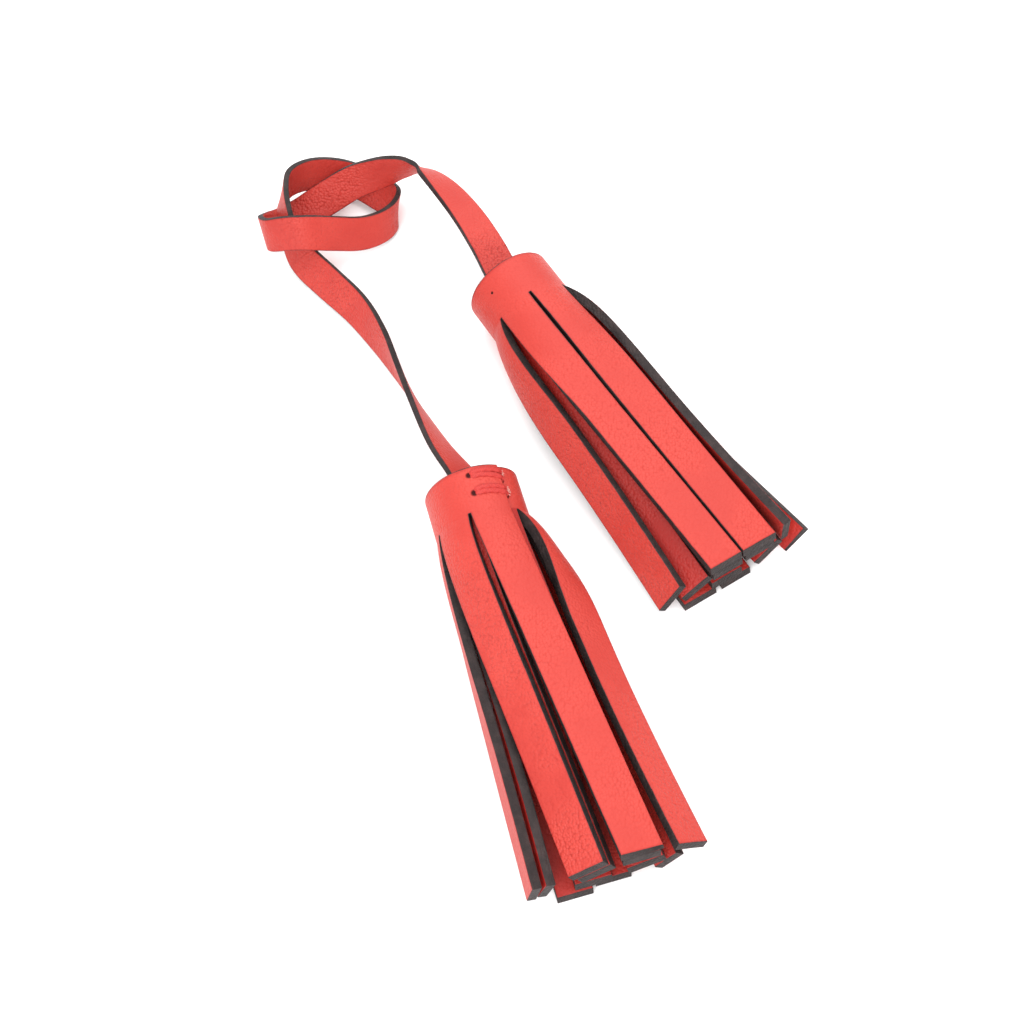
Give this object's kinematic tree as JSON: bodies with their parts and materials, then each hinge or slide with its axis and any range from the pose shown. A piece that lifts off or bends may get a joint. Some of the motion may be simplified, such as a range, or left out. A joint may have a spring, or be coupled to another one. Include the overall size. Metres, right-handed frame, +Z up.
{
  "type": "leather tassel",
  "caption": "Pair of rolled, fringed leather tassels on a flat leather strap tied in a loose knot, lying flat; a trimming for bags, keys or zips",
  "frame": {"origin": "On the floor, below the middle of the box round the two tassels", "axes": "+Z up; +Y along the longest extent of the two tassels, from the tips towards the heads; +X to the right as pictured"},
  "size_m": [0.1095, 0.1589, 0.0184],
  "materials": {
    "leather_red": "smooth grain, satin"
  },
  "bodies": {
    "root": {"tassel_right": "leather_red", "tassel_left": "leather_red", "strap": "leather_red"}
  },
  "joints": []
}
